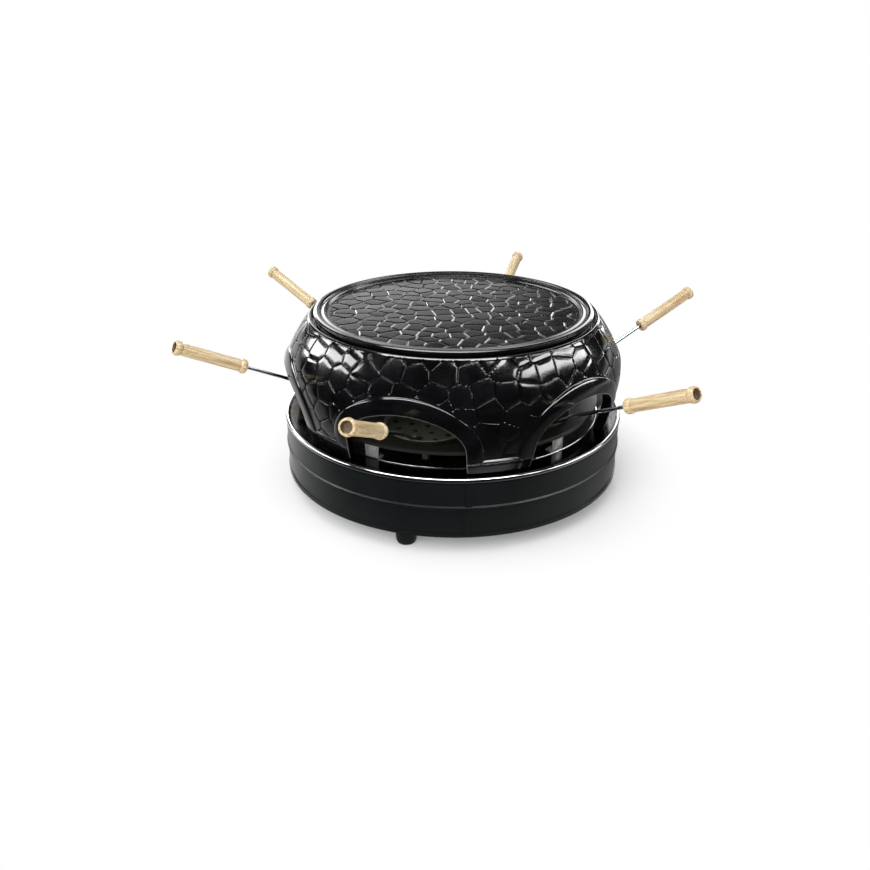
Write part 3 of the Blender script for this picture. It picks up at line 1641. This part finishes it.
@dataclass
class Studio:
    """A white table in a white studio, which shows in the gloss as a dark room with a low, pale wall behind."""

    lens: float = 33.2
    eye: tuple[float, float, float] = (0.2258, -0.8508, 0.4586)
    look: tuple[float, float, float] = (-0.0197, -0.0057, 0.0390)
    table_r: float = 4.0
    table_sides: int = 64

    def camera(self) -> None:
        """Makes the scene's camera."""
        data = bpy.data.cameras.new("camera")
        data.lens, data.sensor_width = self.lens, 36.0
        camera = stand("camera", data)
        camera.location = self.eye
        camera.rotation_euler = (Vector(self.look) - Vector(self.eye)).to_track_quat("-Z", "Y").to_euler()
        bpy.context.scene.camera = camera

    def by_ray(self, tree: Tree, plain: Socket, gloss: Socket, eye: Socket) -> Socket:
        """Gives each kind of ray its own light.

        Args:
            tree: The node tree.
            plain: What lights matt surfaces.
            gloss: What gloss and glass show.
            eye: What the camera sees.

        Returns:
            The shader of all three.
        """
        path = add(tree, "LightPath").node.outputs
        shine = add(tree, "Math", (path["Is Glossy Ray"], path["Is Transmission Ray"]), operation="MAXIMUM")
        return add(tree, "MixShader", (path["Is Camera Ray"], add(tree, "MixShader", (shine, plain, gloss)), eye))

    def world(self) -> None:
        """Makes the world: plain light, a white backdrop and the unlit part of the room behind the camera."""
        world = bpy.data.worlds.new("studio")
        bpy.context.scene.world = world
        world.use_nodes = True
        tree = world.node_tree
        tree.nodes.clear()
        way = add(tree, "TexCoord", output="Generated")
        back = add(tree, "VectorMath", (way, (-0.469, 0.883, 0.0)), "Value", operation="DOT_PRODUCT")
        axes = add(tree, "SeparateXYZ", (way,)).node.outputs
        ranges = [(axes["Z"], 0.24, 0.33, 1.0, 0.0), (axes["Z"], 0.12, 0.22, 0.1, 1.0), (back, 0.9, 1.0, 0.04, 3.2)]
        ranges += [(axes["Z"], 0.0, 0.07, 1.0, 0.0), (axes["Y"], -0.1, 0.4, 0.0, 1.0)]
        high, rise, side, edge, behind = (add(tree, "MapRange", row) for row in ranges)
        low = add(tree, "Math", (high, rise), operation="MULTIPLY")
        wall = add(tree, "Math", (low, side, 0.01), operation="MULTIPLY_ADD")
        horizon = add(tree, "Math", (edge, behind), operation="MULTIPLY")
        lit = add(tree, "Math", (wall, horizon), operation="MAXIMUM")
        plain, gloss, white = (add(tree, "Background", (WHITE, power)) for power in (0.55, lit, 1.0))
        add(tree, "OutputWorld", (self.by_ray(tree, plain, gloss, white),))

    def table_finish(self) -> bpy.types.Material:
        """Makes the table's white: it takes the oven's shadow near by and is the plain backdrop further out.

        Returns:
            The material.
        """
        material = bpy.data.materials.new("white_laminate")
        material.use_nodes = True
        tree = material.node_tree
        tree.nodes.clear()
        place = add(tree, "TexCoord", output="Object")
        out = add(tree, "VectorMath", (place,), "Value", operation="LENGTH")
        axes = add(tree, "SeparateXYZ", (place,)).node.outputs
        ranges = [(out, 0.2, 0.28, 0.0, 1.0), (axes["Y"], -0.25, -0.06, 0.0, 1.0), (axes["X"], -0.25, 0.25, 1.0, 0.3)]
        far, back, side = (add(tree, "MapRange", row) for row in ranges)
        lit = add(tree, "Math", (back, side, 0.02), operation="MULTIPLY_ADD")
        matt = add(tree, "BsdfDiffuse", (colour("#E9E9E9"),))
        glow, white, gloss = (add(tree, "Emission", (WHITE, power)) for power in (0.12, 1.0, lit))
        eye = add(tree, "MixShader", (far, add(tree, "AddShader", (matt, glow)), white))
        add(tree, "OutputMaterial", (self.by_ray(tree, matt, gloss, eye),))
        return material

    def table(self) -> None:
        """Makes the table."""
        mesh = bpy.data.meshes.new("table")
        rim = polar(self.table_r, turns(self.table_sides), 0.0)
        mesh.from_pydata(rim.tolist(), [], [list(range(self.table_sides))])
        mesh.materials.append(self.table_finish())
        stand("table", mesh)

    def lamps(self) -> None:
        """Makes the lamps: two soft lamps that light, and six whose reflections draw the gloss."""
        target = Vector((0.0, 0.0, 0.14))
        for lamp in (
            Softbox("top_lamp", -60.0, 80.0, 1.8, 2.2, 2.2, 21.0, gloss_only=False),
            Softbox("front_fill", -5.0, 32.0, 1.7, 1.6, 0.9, 17.0, gloss_only=False),
            Softbox("left_sheen", -84.0, 23.0, 1.6, 1.5, 0.2, 14.0, roll=27.0),
            Softbox("right_sheen", 98.0, 31.0, 1.6, 1.65, 0.17, 14.0, roll=-22.0),
            Softbox("top_sheen", 5.0, 67.0, 1.5, 2.0, 0.4, 46.0),
            Softbox("rear_sheen", 180.0, 50.0, 1.6, 1.8, 0.3, 10.0),
            Softbox("left_flank", -135.0, 18.0, 1.7, 0.6, 1.1, 12.0),
            Softbox("right_flank", 165.0, 18.0, 1.7, 0.6, 1.1, 12.0),
        ):
            lamp.make(target)

    def make(self) -> None:
        """Makes the camera, the world, the table and the lamps, and sets the plain view transform."""
        self.camera()
        self.world()
        self.table()
        self.lamps()
        bpy.context.scene.view_settings.view_transform = "Standard"


def main() -> None:
    """Loads the frame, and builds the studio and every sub-assembly in order."""
    logging.basicConfig(level=logging.INFO, format="%(message)s")
    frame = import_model()
    Studio().make()
    shop = Workshop(frame["nodes"])
    skews = (-2.0, -4.5, 10.0, -6.0, 13.0, 18.5)
    sides = (1.0, -1.0, 4.0, -1.0, 4.0, -1.0)
    pulls = (1.0, -1.0, 1.0, 1.0, 6.0, -5.0)
    assemblies = [Drum(), Fittings(), Heating(), Wiring(), Hood(), GrillPlate()]
    assemblies += [PlateLeg(i + 1) for i in range(LEGS)]
    assemblies += [Foot(i + 1) for i in range(FEET)]
    assemblies += [Spatula(i + 1, skews[i], sides[i], pulls[i]) for i in range(ARCHES)]
    for assembly in assemblies:
        log.info("building %s", type(assembly).__name__)
        assembly.make(shop)


if __name__ == "__main__":
    main()
